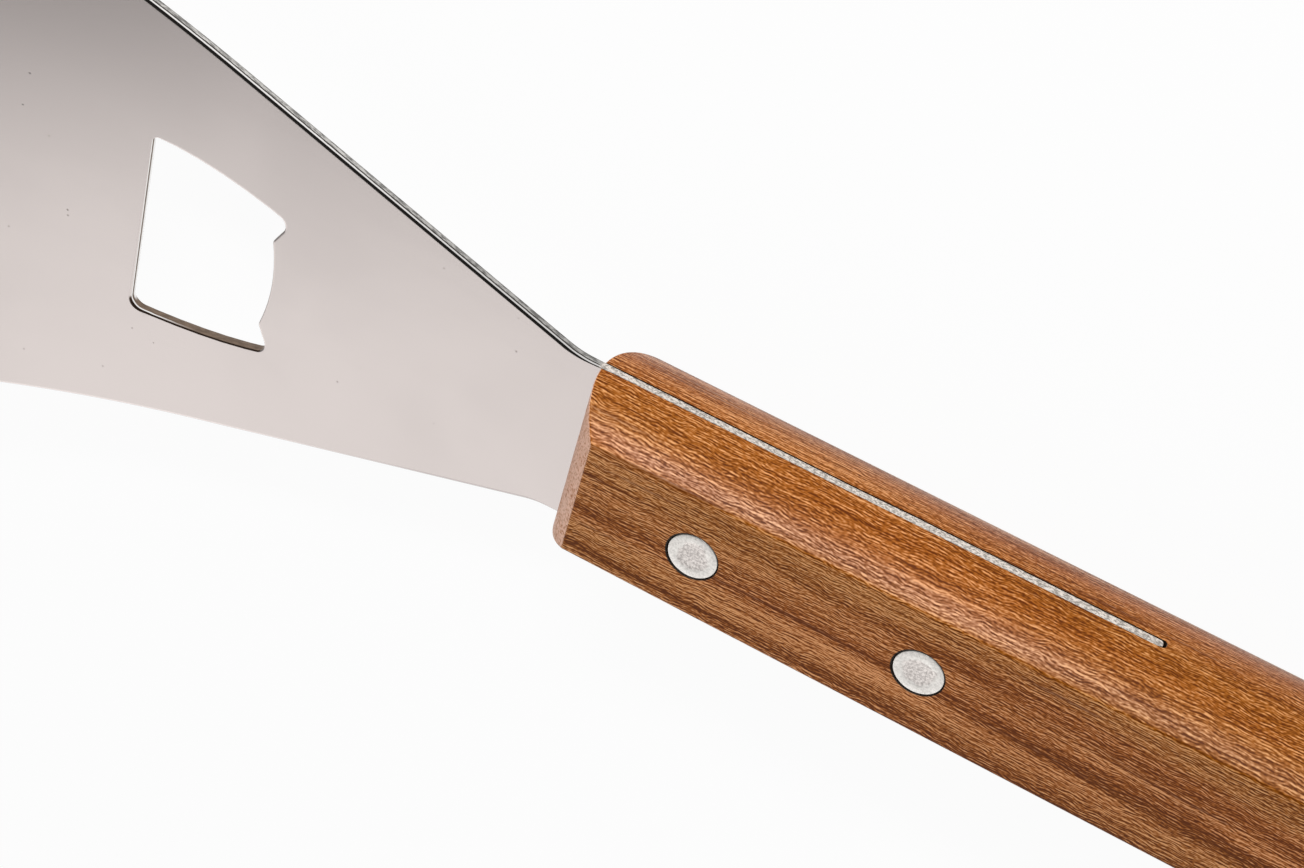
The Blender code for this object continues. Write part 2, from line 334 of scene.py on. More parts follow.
def bridge_rows(bm, rows):
    """Join each closed row of vertices to the next one with faces."""
    for above, below in zip(rows, rows[1:]):
        for index in range(len(above)):
            bm.faces.new((above[index - 1], above[index], below[index], below[index - 1]))


def row_edges(bm, row):
    return [bm.edges.get((row[index - 1], vert)) for index, vert in enumerate(row)]


def bake_modifiers(thing):
    """Replace an object's mesh by the one its modifiers give, and take them off."""
    graph = bpy.context.evaluated_depsgraph_get()
    baked = bpy.data.meshes.new_from_object(thing.evaluated_get(graph))
    if not baked.polygons:
        raise RuntimeError(f"{thing.name} has no faces left")
    baked.name = thing.name
    thing.modifiers.clear()
    thing.data = baked


def shade(thing, sharp_angle):
    """Shade smoothly, apart from edges that turn by more than an angle in degrees."""
    thing.data.shade_smooth()
    thing.data.set_sharp_from_angle(angle=math.radians(sharp_angle))


def turned(profile, centre):
    """Solid of revolution about a line along Z, from (radius, z) points that start and end on the line."""
    bm = bmesh.new()
    verts = [bm.verts.new((radius, 0.0, z)) for radius, z in profile]
    edges = [bm.edges.new(pair) for pair in zip(verts, verts[1:])]
    bmesh.ops.spin(
        bm, geom=verts + edges, cent=(0.0, 0.0, 0.0), axis=(0.0, 0.0, 1.0),
        angle=2 * math.pi, steps=ROUND_SIDES, use_duplicate=False)
    bmesh.ops.remove_doubles(bm, verts=bm.verts, dist=1e-7)
    bmesh.ops.translate(bm, verts=bm.verts, vec=centre)
    return bm


def mirrored_profile(half):
    """A profile's upper half, followed by its mirror image below z = 0."""
    return half + [(radius, -z) for radius, z in reversed(half)]


# Node helpers, for materials and for geometry alike
def fill(tree, socket, value):
    """Link a socket to another one, or set its own value."""
    if isinstance(value, bpy.types.NodeSocket):
        tree.links.new(value, socket)
    else:
        socket.default_value = value


def add_node(tree, kind, inputs=None, **settings):
    node = tree.nodes.new(kind)
    for name, value in settings.items():
        setattr(node, name, value)
    for name, value in (inputs or {}).items():
        fill(tree, node.inputs[name], value)
    return node


def add_filled(tree, kind, values, **settings):
    """Add a node and fill its sockets in their own order."""
    node = add_node(tree, kind, **settings)
    for socket, value in zip(node.inputs, values):
        fill(tree, socket, value)
    return node.outputs[0]


def maths(tree, operation, *values):
    return add_filled(tree, "ShaderNodeMath", values, operation=operation)


def vector_maths(tree, operation, *values):
    return add_filled(tree, "ShaderNodeVectorMath", values, operation=operation)


def product(tree, first, *others):
    for other in others:
        first = maths(tree, "MULTIPLY", first, other)
    return first


def largest(tree, first, *others):
    for other in others:
        first = maths(tree, "MAXIMUM", first, other)
    return first


def weighted_sum(tree, start, *parts):
    """The start value plus each (value, weight) part's product."""
    for value, weight in parts:
        start = maths(tree, "ADD", start, maths(tree, "MULTIPLY", value, weight))
    return start


def difference(tree, first, second):
    return maths(tree, "SUBTRACT", first, second)


def between(tree, value, low, high, to_low=0.0, to_high=1.0):
    """Smooth step of a value between two limits."""
    limits = (value, low, high, to_low, to_high)
    return add_filled(tree, "ShaderNodeMapRange", limits, interpolation_type="SMOOTHSTEP")


def split(tree, vector):
    return add_node(tree, "ShaderNodeSeparateXYZ", {"Vector": vector}).outputs


def blend_colours(tree, factor, first, second, mode="MIX"):
    node = add_node(tree, "ShaderNodeMix", data_type="RGBA", blend_type=mode)
    fill(tree, node.inputs[0], factor)
    for socket, colour in ((node.inputs[6], first), (node.inputs[7], second)):
        fill(tree, socket, colour if isinstance(colour, bpy.types.NodeSocket) else (*colour, 1.0))
    return node.outputs[2]


def blend_values(tree, factor, first, second):
    node = add_node(tree, "ShaderNodeMix", data_type="FLOAT")
    for socket, value in ((node.inputs[0], factor), (node.inputs[2], first), (node.inputs[3], second)):
        fill(tree, socket, value)
    return node.outputs[0]


def scaled(colour, factor):
    return tuple(min(1.0, channel * factor) for channel in colour)


def ramp(tree, value, stops):
    """Colours or grey levels laid out along a value, with straight steps between the stops."""
    node = add_node(tree, "ShaderNodeValToRGB", {"Fac": value})
    elements = node.color_ramp.elements
    while len(elements) < len(stops):
        elements.new(1.0)
    for element, (place, _) in zip(elements, stops):
        element.position = place
    for element, (_, colour) in zip(elements, stops):
        grey = isinstance(colour, float)
        element.color = (colour, colour, colour, 1.0) if grey else (*colour, 1.0)
    return node.outputs[0]


def noise_node(tree, place, stretch, detail, roughness):
    """Noise whose grain is stretched by the given number of features per metre along each axis."""
    return add_node(tree, "ShaderNodeTexNoise", {
        "Vector": vector_maths(tree, "MULTIPLY", place, stretch), "Scale": 1.0,
        "Detail": detail, "Roughness": roughness})


def noise(tree, place, stretch, detail=2.0, roughness=0.5):
    return noise_node(tree, place, stretch, detail, roughness).outputs[0]


def swayed(tree, place, stretch, reach, detail=0.0):
    """A place moved about sideways by noise, by up to half the reach either way."""
    cloud = noise_node(tree, place, stretch, detail, 0.5).outputs["Color"]
    offset = vector_maths(tree, "SUBTRACT", cloud, (0.5, 0.5, 0.5))
    return vector_maths(tree, "ADD", place, vector_maths(tree, "MULTIPLY", offset, (0.0, reach, reach)))


def object_place(tree):
    return add_node(tree, "ShaderNodeTexCoord").outputs["Object"]


def surface_normal(tree):
    return add_node(tree, "ShaderNodeNewGeometry").outputs["Normal"]


def attribute(tree, name):
    return add_node(tree, "ShaderNodeAttribute", attribute_name=name).outputs["Fac"]


def add_bump(tree, shader, height, strength, distance):
    bump = add_node(tree, "ShaderNodeBump", {"Strength": strength, "Distance": distance, "Height": height})
    fill(tree, shader.inputs["Normal"], bump.outputs[0])


def new_material(name):
    material = bpy.data.materials.new(name)
    material.use_nodes = True
    return material, material.node_tree, material.node_tree.nodes["Principled BSDF"]


# Surface effects that the materials share
def new_group(name, inputs, output):
    """Shader node group with a place and float inputs, and one float output."""
    group = bpy.data.node_groups.new(name, "ShaderNodeTree")
    group.interface.new_socket(name="Place", in_out="INPUT", socket_type="NodeSocketVector")
    for socket_name in inputs:
        group.interface.new_socket(name=socket_name, in_out="INPUT", socket_type="NodeSocketFloat")
    group.interface.new_socket(name=output, in_out="OUTPUT", socket_type="NodeSocketFloat")
    given = group.nodes.new("NodeGroupInput").outputs
    return group, given, group.nodes.new("NodeGroupOutput").inputs[output]


def use_group(tree, group, **inputs):
    """Value of a shared effect, with its inputs named in small letters."""
    named = {name.replace("_", " ").title(): value for name, value in inputs.items()}
    return add_node(tree, "ShaderNodeGroup", named, node_tree=group).outputs[0]


def speckle_group():
    """Small scattered pits: a mask that is 1 in a pit."""
    group, given, mask = new_group("speckle", ["Per Metre", "Share", "Size"], "Mask")
    cells = add_node(group, "ShaderNodeTexVoronoi", {"Vector": given["Place"], "Scale": given["Per Metre"]})
    chosen = add_node(group, "ShaderNodeSeparateColor", {"Color": cells.outputs["Color"]}).outputs[0]
    kept = maths(group, "LESS_THAN", chosen, given["Share"])
    size = product(group, given["Size"], maths(group, "ADD", chosen, 0.3))
    spot = between(group, cells.outputs["Distance"], size, 0.0)
    fill(group, mask, product(group, kept, spot))
    return group


def smudge_group():
    """Soft uneven patches left by wiping and handling, from 0 to 1."""
    group, given, mask = new_group("smudge", ["Per Metre"], "Mask")
    cloud = add_node(group, "ShaderNodeTexNoise", {
        "Vector": given["Place"], "Scale": given["Per Metre"], "Detail": 3.0, "Roughness": 0.55,
        "Distortion": 0.4})
    fill(group, mask, between(group, cloud.outputs[0], 0.3, 0.7))
    return group


def shared_groups():
    """The surface effects, built once."""
    makers = {"speckle": speckle_group, "smudge": smudge_group}
    return {name: bpy.data.node_groups.get(name) or make() for name, make in makers.items()}


# Steel
def edge_zones(tree, here, facing, scales):
    """Masks down a pressed edge: drawn down, burnished, a step and torn, by depth in millimetres; the drawn
    rim and the step take painted shade.
    """
    depth = attribute(tree, "edge_depth")
    opener = attribute(tree, "opener_edge")
    drawn_end, burnished_end, step_end = (0.155, 0.170), (0.37, 0.42), (0.58, 0.64)
    uneven = weighted_sum(tree, depth, (difference(tree, scales, 0.5), 0.14))
    off_underside = between(tree, facing[2], -0.85, -0.60)
    started = between(tree, depth, 0.0, 0.015)
    # Painted shade: the drawn-down rim is painted near black, only where it tilts towards +Y
    drawn = product(
        tree, started, between(tree, depth, *reversed(drawn_end)), between(tree, facing[1], -0.02, 0.08),
        between(tree, maths(tree, "ADD", facing[0], facing[1]), 0.0, 0.08))
    # In the opener only the base end of the wall is burnished
    plain = product(tree, opener, between(tree, here[0], front_x - 55.5 * mm, front_x - 48.0 * mm))
    # Partly painted highlight: the burnished band is painted near white, brighter than the steel itself
    burnished = product(
        tree, between(tree, depth, *drawn_end), between(tree, uneven, *reversed(burnished_end)),
        difference(tree, 1.0, plain))
    # Painted shade: the step is a thin dark line between the burnished and the torn bands
    step = product(
        tree, between(tree, uneven, *burnished_end), between(tree, uneven, *reversed(step_end)))
    torn = largest(
        tree, between(tree, uneven, *step_end),
        product(tree, opener, between(tree, uneven, 0.31, 0.39)),
        product(tree, plain, between(tree, depth, 0.10, 0.14)))
    return {
        "depth": depth, "opener": opener, "drawn": drawn, "burnished": burnished, "step": step,
        "torn": product(tree, torn, off_underside), "wall": product(tree, started, off_underside)}


def edge_colour(tree, settings, colour, zones, here, facing, scales):
    """Colours of the pressed edges, laid over the colour of the faces, with painted shade and painted
    highlights among them.
    """
    drawn_shade_steel, drawn_shade_brown = (0.05, 0.045, 0.042), (0.080, 0.050, 0.036)
    mirror, step_shade = (0.90, 0.88, 0.86), (0.07, 0.065, 0.06)
    white_glint, foot_shade, shadow = (0.97, 0.96, 0.95), (0.10, 0.09, 0.08), (0.03, 0.028, 0.026)
    depth, opener = zones["depth"], zones["opener"]
    torn = blend_colours(tree, between(tree, scales, 0.38, 0.62),
                         scaled(settings.torn_edge, 0.7), scaled(settings.torn_edge, 1.9))
    # Painted shade: the torn wall darkens towards its foot at the lower face
    torn = blend_colours(tree, between(tree, depth, 0.90, 1.12, 0.0, 0.45), torn, foot_shade)
    brown = blend_colours(tree, between(tree, scales, 0.3, 0.7),
                          settings.opener_edge, scaled(settings.opener_edge, 1.6))
    # Painted highlight: a near-white glint low on the opener's walls, kept off the walls that face +Y
    base = blend_colours(tree, between(tree, depth, 0.54, 0.87), brown, white_glint)
    inner = blend_colours(tree, between(tree, facing[1], 0.4, 0.8), base, brown)
    layers = (
        # Painted shade on the drawn-down rim
        (zones["drawn"], blend_colours(tree, opener, drawn_shade_steel, drawn_shade_brown)),
        # Burnished band: the real burnish, partly a painted highlight
        (zones["burnished"], mirror),
        # Painted shade on the step
        (zones["step"], step_shade),
        (zones["torn"], blend_colours(tree, opener, torn, inner)),
    )
    for mask, layer in layers:
        colour = blend_colours(tree, mask, colour, layer)
    # The outer edge is darker towards the handle
    shaded = between(tree, here[0], front_x - 44.0 * mm, front_x - 10.0 * mm, 0.0, 0.26)
    outer = product(tree, zones["wall"], difference(tree, 1.0, opener))
    return blend_colours(tree, product(tree, shaded, outer), colour, shadow)


def steel_material(settings, groups):
    """Satin stainless sheet, with the zones that a press leaves down its edges and a sanded tang."""
    material, tree, shader = new_material("satin_steel")
    place = object_place(tree)
    here = split(tree, place)
    facing = split(tree, surface_normal(tree))
    smudge = use_group(tree, groups["smudge"], place=place, per_metre=28.0)
    lines = noise(tree, place, (60.0, 5200.0, 5200.0), detail=3.0, roughness=0.6)
    pits = use_group(tree, groups["speckle"], place=place, per_metre=300.0, share=0.40, size=0.13)
    pit_grime = (0.16, 0.13, 0.11)
    colour = blend_colours(tree, smudge, settings.steel, scaled(settings.steel, 0.95))
    colour = blend_colours(tree, product(tree, pits, 0.50), colour, pit_grime)

    scales = noise(tree, place, (1000.0, 1000.0, 3000.0), detail=3.0, roughness=0.65)
    zones = edge_zones(tree, here, facing, scales)
    colour = edge_colour(tree, settings, colour, zones, here, facing, scales)

    grit = noise(tree, place, (2300.0, 2300.0, 4300.0), detail=3.0, roughness=0.7)
    dull_scratch, bright_scratch = (0.36, 0.33, 0.30), (0.81, 0.755, 0.70)
    tang = between(tree, here[0], front_x - 0.6 * mm, front_x + 0.2 * mm)
    sanded = product(tree, tang, zones["wall"])
    sanded_colour = blend_colours(tree, between(tree, grit, 0.38, 0.60), dull_scratch, bright_scratch)
    colour = blend_colours(tree, sanded, colour, sanded_colour)
    fill(tree, shader.inputs["Base Color"], colour)
    shader.inputs["Metallic"].default_value = 1.0

    darkened = largest(tree, zones["drawn"], zones["step"])
    rough = weighted_sum(
        tree, 0.165, (smudge, 0.02), (lines, 0.04), (darkened, 0.10), (zones["torn"], 0.32), (sanded, 0.32))
    fill(tree, shader.inputs["Roughness"], rough)
    edge_grit = product(tree, largest(tree, zones["torn"], sanded), grit)
    height = weighted_sum(tree, 0.0, (lines, 0.012), (pits, -0.5), (edge_grit, 0.9))
    add_bump(tree, shader, height, strength=0.35, distance=0.05 * mm)
    return material


# Wood
def wood_tone(tree, place, rippled, facing_up, normal):
    """Lightness of the wood: growth rings, streaks and long lines, short rippled fibres along X, and
    painted shade that darkens it towards the rear.
    """
    x, y, z = split(tree, place)
    across = weighted_sum(tree, y, (z, 0.25), (x, 0.02))
    ring_place = add_filled(tree, "ShaderNodeMapRange", (across, -7.0 * mm, 17.0 * mm))
    growth = ramp(tree, ring_place, GROWTH_RINGS)
    broad = noise(tree, place, (6.0, 240.0, 240.0))
    streaks = noise(tree, place, (10.0, 1000.0, 1000.0))
    lines = noise(tree, place, (45.0, 4000.0, 4000.0), detail=0.0)
    flecks = noise(tree, rippled, (2200.0, 4600.0, 4600.0), detail=0.0)

    # Two noises a little apart sideways leave only what is as narrow as a fibre
    fibre_size = (900.0, 4800.0, 4800.0)
    sideways = vector_maths(tree, "CROSS_PRODUCT", (0.08 * mm, 0.0, 0.0), normal)
    beside = vector_maths(tree, "ADD", rippled, sideways)
    here, there = (noise(tree, spot, fibre_size, detail=0.0) for spot in (rippled, beside))
    fibre = difference(tree, here, there)
    smoother_crown = between(tree, facing_up, 0.75, 0.95, 0.66, 1.0)
    fibre = maths(tree, "ADD", product(tree, fibre, smoother_crown), 0.5)

    # Painted shade: the wood is made darker towards the rear end, standing in for light that falls off
    # along the handle
    painted_falloff_per_metre = 1.2
    tone = weighted_sum(tree, 0.50, (difference(tree, front_x, x), painted_falloff_per_metre))
    weights = ((growth, 1.2), (broad, 0.40), (streaks, 0.35), (lines, 1.0), (fibre, 2.35), (flecks, 0.85))
    for part, weight in weights:
        tone = weighted_sum(tree, tone, (difference(tree, part, 0.5), weight))
    return tone, fibre


def wood_gap_shade(tree, place, facing_up, rivets):
    """Mask of painted shade in the kerf and of a painted shadow in the gap round each rivet."""
    x, y, z = split(tree, place)
    from_middle = maths(tree, "ABSOLUTE", difference(tree, z, middle_z))
    in_kerf = maths(tree, "LESS_THAN", from_middle, 1.2 * mm)
    gap_shade = product(tree, in_kerf, between(tree, facing_up, 0.3, 0.6))
    # The painted shadow round each rivet is centred a little towards -X, so it is wider on that side
    shadow_offset = 0.06 * mm
    head = rivets.head / 2
    for rivet_x in rivet_places(rivets):
        along = difference(tree, x, front_x + rivet_x - shadow_offset)
        arm = add_node(tree, "ShaderNodeCombineXYZ", {"X": along, "Y": y}).outputs[0]
        from_rivet = add_node(tree, "ShaderNodeVectorMath", {0: arm}, operation="LENGTH").outputs["Value"]
        gap_shade = largest(tree, gap_shade, between(tree, from_rivet, head + 0.27 * mm, head + 0.17 * mm))
    return gap_shade


def wood_material(settings, rivets, groups):
    """Oiled reddish-brown wood, glossier in its light streaks than in its dark ones."""
    material, tree, shader = new_material("oiled_wood")
    place = object_place(tree)
    normal = surface_normal(tree)
    facing_along, _, facing_up = (maths(tree, "ABSOLUTE", part) for part in split(tree, normal))
    drifting = swayed(tree, place, (14.0, 50.0, 50.0), reach=3.0 * mm, detail=1.0)
    rippled = swayed(tree, drifting, (420.0, 300.0, 300.0), reach=0.7 * mm)
    tone, fibre = wood_tone(tree, drifting, rippled, facing_up, normal)
    late, heart, early = map(Vector, (settings.late_wood, settings.heart_wood, settings.early_wood))
    darker = late.lerp(heart, 0.40)
    lighter = heart.lerp(early, 0.42)
    stops = ((0.0, late), (0.25, darker), (0.5, heart), (0.75, lighter), (1.0, early))
    colour = ramp(tree, tone, stops)

    greenish, pinkish = (0.95, 1.01, 0.95), (1.03, 0.985, 1.02)
    drift = noise(tree, drifting, (12.0, 160.0, 160.0), detail=1.0)
    tint = blend_colours(tree, between(tree, drift, 0.30, 0.70), greenish, pinkish)
    colour = blend_colours(tree, 1.0, colour, tint, "MULTIPLY")
    veins = between(tree, noise(tree, drifting, (32.0, 1150.0, 1150.0), detail=1.0), 0.36, 0.24)
    pores = between(tree, noise(tree, rippled, (240.0, 5200.0, 5200.0), detail=1.0), 0.30, 0.20)
    dark = largest(tree, product(tree, veins, 0.68), product(tree, pores, 0.4))
    colour = blend_colours(tree, dark, colour, late)

    cut_end = between(tree, facing_along, 0.45, 0.62)
    dots = noise(tree, place, (900.0, 3600.0, 3600.0), detail=3.0, roughness=0.6)
    end_colour = blend_colours(tree, between(tree, dots, 0.30, 0.56), heart, settings.end_grain)
    colour = blend_colours(tree, cut_end, colour, end_colour)
    # Painted shade in the kerf and painted shadow round the rivets, laid on as near black
    gap_shade = wood_gap_shade(tree, place, facing_up, rivets)
    gap_shade_colour = (0.012, 0.007, 0.004)
    fill(tree, shader.inputs["Base Color"], blend_colours(tree, gap_shade, colour, gap_shade_colour))

    smudge = use_group(tree, groups["smudge"], place=place, per_metre=45.0)
    matt_streaks = between(tree, tone, 0.55, 0.20, 0.0, 0.12)
    dull = largest(tree, cut_end, gap_shade)
    rough = weighted_sum(tree, 0.31, (smudge, 0.06), (matt_streaks, 1.0), (pores, 0.2), (dull, 0.2))
    fill(tree, shader.inputs["Roughness"], rough)
    shader.inputs["Specular IOR Level"].default_value = 0.11
    fill(tree, shader.inputs["Coat Weight"], between(tree, tone, 0.10, 0.80, 0.0, 0.42))
    shader.inputs["Coat Roughness"].default_value = 0.42
    height = weighted_sum(tree, 0.0, (fibre, 0.5), (pores, -0.6))
    add_bump(tree, shader, height, strength=0.5, distance=0.06 * mm)
    return material


# Aluminium
def aluminium_material(settings, groups):
    """Aluminium sanded flush with the wood: matt, speckled, with a brighter rim."""
    material, tree, shader = new_material("sanded_aluminium")
    place = object_place(tree)
    smudge = use_group(tree, groups["smudge"], place=place, per_metre=700.0)
    pits = use_group(tree, groups["speckle"], place=place, per_metre=3000.0, share=0.32, size=0.50)
    grain = noise(tree, place, (3000.0, 3000.0, 3000.0), detail=3.0, roughness=0.7)
    patches = noise(tree, place, (900.0, 900.0, 900.0), detail=1.0)
    ragged_radius = weighted_sum(tree, attribute(tree, "from_axis"), (patches, 1.6 * mm))
    rim = between(tree, ragged_radius, 2.5 * mm, 2.95 * mm)
    bare = settings.aluminium
    pit_grime = (0.16, 0.15, 0.14)
    colour = blend_colours(tree, between(tree, grain, 0.34, 0.66), scaled(bare, 0.60), scaled(bare, 1.16))
    colour = blend_colours(tree, product(tree, rim, 0.55), colour, scaled(bare, 1.22))
    colour = blend_colours(tree, product(tree, pits, 0.50), colour, pit_grime)
    fill(tree, shader.inputs["Base Color"], colour)
    shader.inputs["Metallic"].default_value = 1.0
    fill(tree, shader.inputs["Roughness"], weighted_sum(tree, 0.38, (smudge, 0.10)))
    height = weighted_sum(tree, grain, (pits, -0.6))
    add_bump(tree, shader, height, strength=0.25, distance=0.04 * mm)
    return material


# The blade
def edge_rows(loop, rolls, sheet):
    """Rows down a pressed edge, from the upper face to the lower one, as (place, depth mark) pairs.

    The press draws the rim of the upper face down over the widths in rolls. The mark is in millimetres.
    """
    foot = 0.08 * mm
    lean = 0.03 * mm
    strip = 0.10 * mm
    # Share of the roll inwards, further inwards, share of the roll's drop, further down, mark
    profile = [(1.0, strip, 0.0, 0.0, 0.0)]
    roll_steps = 6
    for step in range(roll_steps + 1):
        share = step / roll_steps
        profile.append((1.0 - share, 0.0, share ** 2, 0.0, 0.12 * share))
    profile += [
        (0.0, 0.0, 1.0, 0.28 * mm, 0.40),
        (0.0, 0.0, 1.0, 0.44 * mm, 0.56),
        (0.0, lean, 0.0, sheet - foot, 1.12),
        (0.0, lean + foot * 0.3, 0.0, sheet - foot * 0.3, 1.20),
        (0.0, lean + foot, 0.0, sheet, 1.20),
        (0.0, lean + foot + strip, 0.0, sheet, 1.20),
    ]
    drop_per_width = 0.3
    rows = []
    for share_in, further_in, share_down, further_down, mark in profile:
        points = inset(loop, [roll * share_in + further_in for roll in rolls])
        row = []
        for point, roll in zip(points, rolls):
            height = sheet / 2 - roll * drop_per_width * share_down - further_down
            row.append(((point.x, point.y, height), mark))
        rows.append(row)
    return rows


def plain_roll(point, settings):
    """Roll of a drilled hole, which is hardly drawn down."""
    return 0.02 * mm


def outer_roll(point, settings):
    """Roll along the outer edge: full on the blade, and running out to the sanded tang."""
    hardly = plain_roll(point, settings)
    return hardly + (settings.roll_width - hardly) * clamp(-point.x / (5.0 * mm))


def opener_roll(point, settings):
    """Roll in the opener: hardly any along the base, and most at the base's left corner."""
    side_share, corner_share = 0.55, 0.60
    off_base = clamp((point.x - BASE_X - 0.34 * mm) / (2.0 * mm))
    left_side = point.y < -11.5 * mm
    left_corner = Vector((BASE_X + 0.04 * mm, -BASE_HALF_WIDTH - 0.35 * mm))
    at_corner = clamp(1.0 - (point - left_corner).length / (2.2 * mm))
    share = side_share * (1.0 if left_side else off_base) + corner_share * at_corner
    return plain_roll(point, settings) + share * settings.roll_width


def slice_blank(bm, settings, grind):
    """Cut the blank across wherever its shape changes along its length."""
    rolled = settings.bend_radius * settings.bend_angle
    count = math.ceil(rolled / SLICE)
    cuts = [settings.bend_start + rolled * index / count for index in range(count + 1)]
    cuts += [settings.length - grind, -TANG_LEAD, -SWELL_START, -SWELL_END]
    cuts += [-TANG_LENGTH + TANG_ROUND * share for share in (1.0, 0.65, 0.4, 0.2, 0.07)]
    for along in cuts:
        geometry = list(bm.verts) + list(bm.edges) + list(bm.faces)
        bmesh.ops.bisect_plane(
            bm, geom=geometry, dist=1e-7, plane_co=(-along, 0.0, 0.0), plane_no=(1.0, 0.0, 0.0))


def shape_thickness(bm, settings, grind):
    """Grind the front edge thin from above, sand the tang down and round its end."""
    ground_off = 0.6
    half = settings.sheet / 2
    for vert in bm.verts:
        x = vert.co.x
        ground = max(0.0, -x - (settings.length - grind)) / grind
        z = -half + (vert.co.z + half) * (1.0 - ground_off * ground)
        inside = clamp(x / TANG_LEAD)
        bottom = tang_bottom(x)
        z *= 1.0 + inside * ((TANG_TOP if z > 0.0 else bottom) / half - 1.0)
        past = max(0.0, x - TANG_LENGTH + TANG_ROUND) / TANG_ROUND
        middle = inside * (TANG_TOP - bottom) / 2
        vert.co.z = middle + (z - middle) * math.sqrt(max(0.04, 1.0 - past ** 2))


def flat_blank(settings, rivets):
    """The blank before it is bent, with its rims shaped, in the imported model's place."""
    bm = bmesh.new()
    depth = bm.verts.layers.float.new("edge_depth")
    opener_mark = bm.verts.layers.float.new("opener_edge")
    loops = [
        (wound(blade_outline(settings), True), outer_roll),
        (wound(opener_outline(), False), opener_roll),
    ]
    for x in rivet_places(rivets):
        loops.append((wound(circle(x, SHANK_RADIUS + CLEARANCE), False), plain_roll))
    upper = []
    lower = []
    for loop, roll_width in loops:
        rolls = [roll_width(point, settings) for point in loop]
        rows = []
        for places in edge_rows(loop, rolls, settings.sheet):
            row = []
            for place, mark in places:
                vert = bm.verts.new(place)
                vert[depth] = mark
                vert[opener_mark] = 1.0 if roll_width is opener_roll else 0.0
                row.append(vert)
            rows.append(row)
        bridge_rows(bm, rows)
        upper += row_edges(bm, rows[0])
        lower += row_edges(bm, rows[-1])
    for edges in (upper, lower):
        bmesh.ops.triangle_fill(bm, edges=edges, use_beauty=True, use_dissolve=False)

    grind = 4.0 * mm
    slice_blank(bm, settings, grind)
    shape_thickness(bm, settings, grind)
    bmesh.ops.translate(bm, verts=bm.verts, vec=(front_x, 0.0, middle_z))
    return bm


def finish_tree(tree, geometry, material):
    """End a geometry tree with real faces that carry a material."""
    real = add_node(tree, "GeometryNodeRealizeInstances", {"Geometry": geometry})
    finished = add_node(tree, "GeometryNodeSetMaterial", {
        "Geometry": real.outputs[0], "Material": material})
    fill(tree, tree.nodes.new("NodeGroupOutput").inputs[0], finished.outputs[0])


def new_geometry_tree(name, inputs):
    """Geometry tree with (name, socket type, value) inputs, and those values by socket identifier."""
    tree = bpy.data.node_groups.new(name, "GeometryNodeTree")
    tree.interface.new_socket(name="Geometry", in_out="INPUT", socket_type="NodeSocketGeometry")
    wanted = {}
    for socket_name, kind, value in inputs:
        socket = tree.interface.new_socket(name=socket_name, in_out="INPUT", socket_type=kind)
        wanted[socket.identifier] = value
    tree.interface.new_socket(name="Geometry", in_out="OUTPUT", socket_type="NodeSocketGeometry")
    return tree, tree.nodes.new("NodeGroupInput").outputs, wanted


def bend_tree(settings, material):
    """Geometry nodes that roll the flat blank up from a line across it."""
    number = "NodeSocketFloat"
    tree, given, wanted = new_geometry_tree("bend_blade", [
        ("Handle Front", number, front_x), ("Sheet Middle", number, middle_z),
        ("Bend Start", number, settings.bend_start), ("Bend Radius", number, settings.bend_radius),
        ("Bend Angle", number, settings.bend_angle)])
    x, y, z = split(tree, add_node(tree, "GeometryNodeInputPosition").outputs[0])
    radius = given["Bend Radius"]
    along = difference(tree, given["Handle Front"], x)
    up = difference(tree, z, given["Sheet Middle"])
    before = maths(tree, "MINIMUM", along, given["Bend Start"])
    past = largest(tree, difference(tree, along, given["Bend Start"]), 0.0)
    rolled = maths(tree, "MINIMUM", past, product(tree, radius, given["Bend Angle"]))
    after = difference(tree, past, rolled)
    angle = maths(tree, "DIVIDE", rolled, radius)
    sine = maths(tree, "SINE", angle)
    cosine = maths(tree, "COSINE", angle)
    arm = difference(tree, radius, up)
    forward = weighted_sum(tree, before, (arm, sine), (after, cosine))
    height = weighted_sum(tree, difference(tree, radius, product(tree, arm, cosine)), (after, sine))
    moved = add_node(tree, "ShaderNodeCombineXYZ", {
        "X": difference(tree, given["Handle Front"], forward), "Y": y,
        "Z": maths(tree, "ADD", given["Sheet Middle"], height)})
    bent = add_node(tree, "GeometryNodeSetPosition", {
        "Geometry": given["Geometry"], "Position": moved.outputs[0]})
    finish_tree(tree, bent.outputs[0], material)
    return tree, wanted


def run_tree(thing, tree, wanted):
    modifier = thing.modifiers.new(tree.name, "NODES")
    modifier.node_group = tree
    for identifier, value in wanted.items():
        modifier[identifier] = value
    bake_modifiers(thing)


class SPATULA_OT_blade(bpy.types.Operator):
    """Make the bent steel blade with its bottle opener and tang"""

    bl_idname = "spatula.blade"
    bl_label = "Blade"

    def execute(self, context):
        settings = context.scene.spatula_blade
        blade = mesh_object("steel_blade", flat_blank(settings, context.scene.spatula_rivets))
        tree, wanted = bend_tree(settings, steel_material(settings, shared_groups()))
        run_tree(blade, tree, wanted)
        shade(blade, sharp_angle=35.0)
        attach(blade, "root")
        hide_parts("blade")
        return {"FINISHED"}


